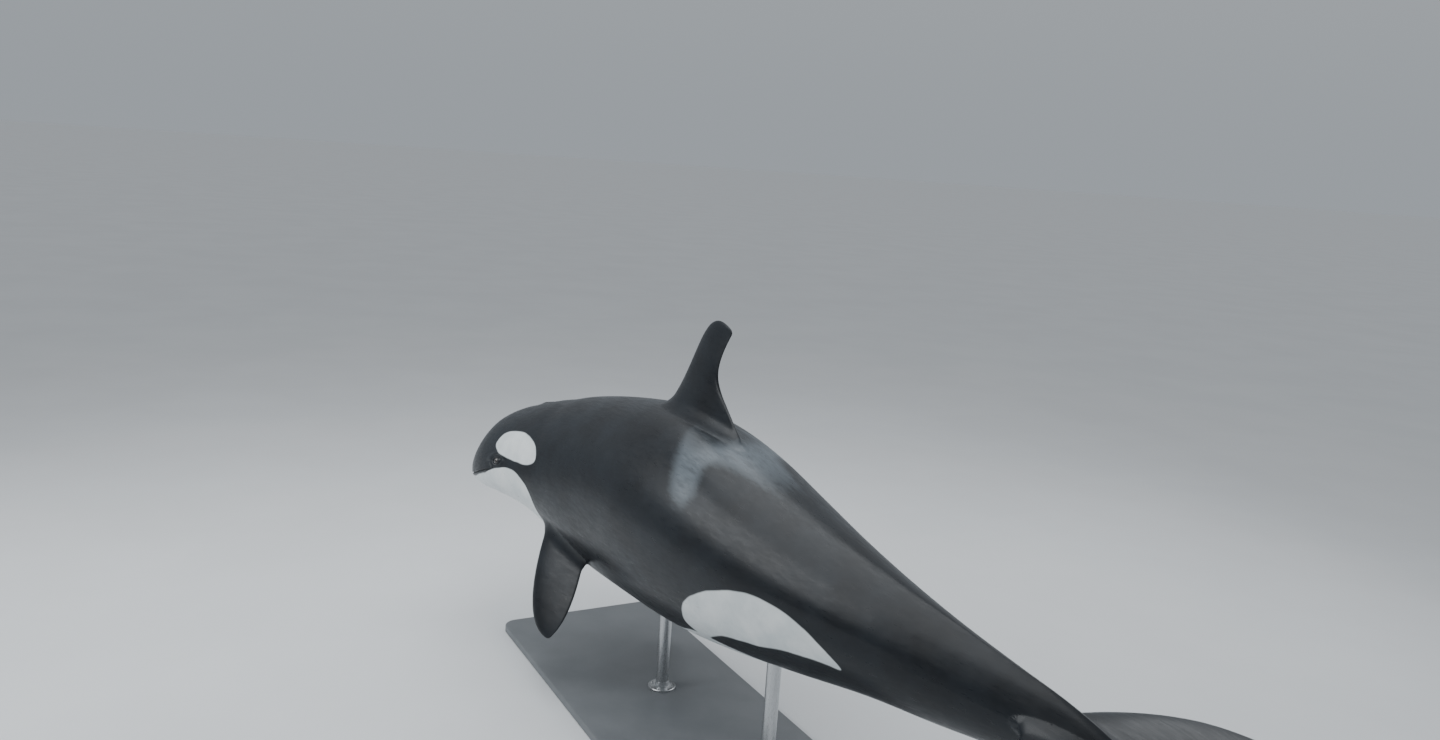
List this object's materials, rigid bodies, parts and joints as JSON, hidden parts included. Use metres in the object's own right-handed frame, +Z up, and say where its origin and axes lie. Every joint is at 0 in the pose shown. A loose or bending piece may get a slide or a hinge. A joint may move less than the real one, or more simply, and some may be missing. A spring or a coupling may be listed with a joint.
{
  "type": "orca, swimming, life-size model on a display stand",
  "caption": "Life-size adult female orca in a gently bent swimming pose, with dorsal fin, flippers and flukes, held by two rods on a flat base.",
  "frame": {"origin": "on the floor, under the middle of the whole model's box", "axes": "+X towards the flukes, so that the animal faces -X; +Y towards its right side; +Z up"},
  "size_m": [5.5288, 1.8034, 2.4095],
  "materials": {
    "skin_black": "smooth wet skin, near black, with a grey saddle",
    "skin_white": "smooth wet skin, cool white",
    "eye": "dark glossy eye",
    "stand_base": "satin dark grey paint",
    "stand_rod": "brushed steel"
  },
  "bodies": {
    "root": {"head": "skin_black", "lower_jaw": "skin_white", "eye_left": "eye", "eye_right": "eye", "chest": "skin_black", "midbody": "skin_black", "abdomen": "skin_black", "tail_stock": "skin_black", "dorsal_fin": "skin_black", "flipper_left": "skin_black", "flipper_right": "skin_black", "fluke_left": "skin_black", "fluke_right": "skin_black", "stand_base": "stand_base", "stand_rod_front": "stand_rod", "stand_rod_rear": "stand_rod"}
  },
  "joints": []
}
